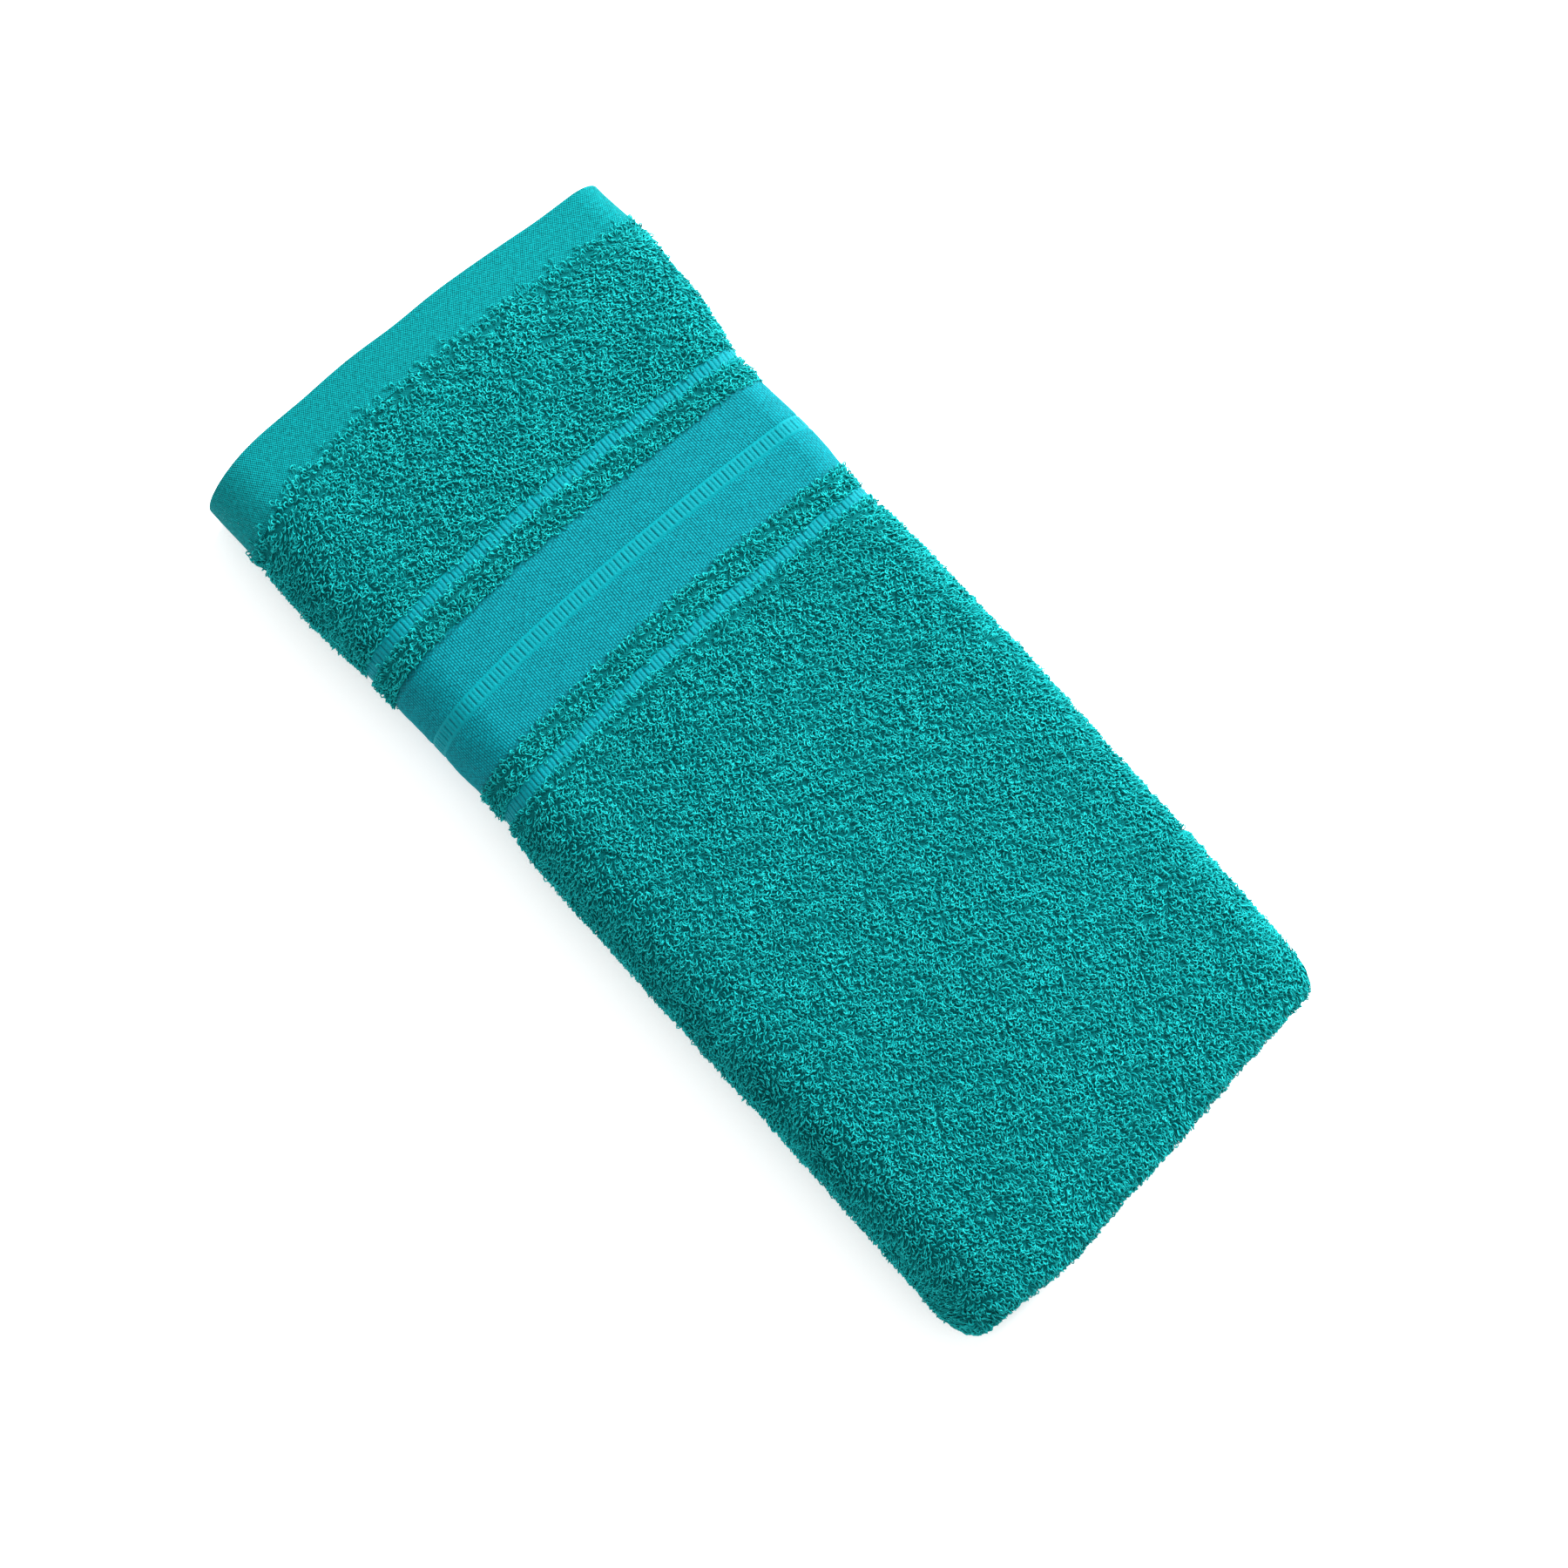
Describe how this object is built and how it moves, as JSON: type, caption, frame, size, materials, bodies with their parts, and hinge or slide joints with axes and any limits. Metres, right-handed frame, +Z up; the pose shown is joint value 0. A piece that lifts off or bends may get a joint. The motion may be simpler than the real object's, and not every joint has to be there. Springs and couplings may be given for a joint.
{
  "type": "folded bath towel",
  "caption": "Terry bath towel folded in four each way into a soft oblong bundle, with a woven border; its last fold opens flat.",
  "frame": {"origin": "centre of the folded towel's underside, on the surface that it lies on", "axes": "+Z up through the sixteen leaves, +Y along the folded length towards the hems, +X across the width away from the big roll"},
  "size_m": [0.178, 0.393, 0.0437],
  "materials": {
    "terry": "matt looped cotton terry, teal",
    "hem_weave": "matt plain cotton weave, lighter teal",
    "flat_border_weave": "slightly lustrous ribbed flat weave, cyan teal",
    "ladder_weave": "slightly lustrous raised bars of floating threads, cyan teal",
    "sewing_thread": "twisted sewing thread, teal"
  },
  "bodies": {
    "lower_half": {"third_outer_hem_leaf": "terry", "third_inner_hem_leaf": "terry", "third_inner_middle_leaf": "terry", "third_outer_middle_leaf": "terry", "third_outer_end_fold": "terry", "third_inner_end_fold": "terry", "third_back_fold": "terry", "bottom_outer_hem_leaf": "terry", "bottom_inner_hem_leaf": "terry", "bottom_inner_middle_leaf": "terry", "bottom_outer_middle_leaf": "terry", "bottom_outer_end_fold": "terry", "bottom_inner_end_fold": "terry", "bottom_back_fold": "terry", "left_fold_1": "terry", "left_fold_2": "terry", "left_fold_3": "terry", "left_fold_4": "terry", "left_fold_5": "terry", "left_fold_6": "terry", "left_fold_7": "terry", "left_fold_8": "terry"},
    "upper_half": {"top_hem_band": "hem_weave", "top_end_terry": "terry", "top_outer_ladder_stripe": "ladder_weave", "top_outer_terry_strip": "terry", "top_outer_flat_border": "flat_border_weave", "top_centre_ladder_stripe": "ladder_weave", "top_inner_flat_border": "flat_border_weave", "top_inner_terry_strip": "terry", "top_inner_ladder_stripe": "ladder_weave", "top_terry_panel": "terry", "top_hem_thread": "sewing_thread", "top_inner_hem_leaf": "terry", "top_inner_middle_leaf": "terry", "top_outer_middle_leaf": "terry", "top_outer_end_fold": "terry", "top_inner_end_fold": "terry", "top_back_fold": "terry", "second_outer_hem_leaf": "terry", "second_inner_hem_leaf": "terry", "second_inner_middle_leaf": "terry", "second_outer_middle_leaf": "terry", "second_outer_end_fold": "terry", "second_inner_end_fold": "terry", "second_back_fold": "terry", "right_fold_1": "terry", "right_fold_2": "terry", "right_fold_3": "terry", "right_fold_4": "terry"}
  },
  "joints": [
    {"name": "unfold", "type": "hinge", "parent": "lower_half", "child": "upper_half", "pos_m": [-0.07115, 0, 0.02185], "axis": [0, -1, 0], "range_deg": [0, 180], "deforming": ["left_fold_1", "left_fold_2", "left_fold_3", "left_fold_4", "left_fold_5", "left_fold_6", "left_fold_7", "left_fold_8"]}
  ]
}
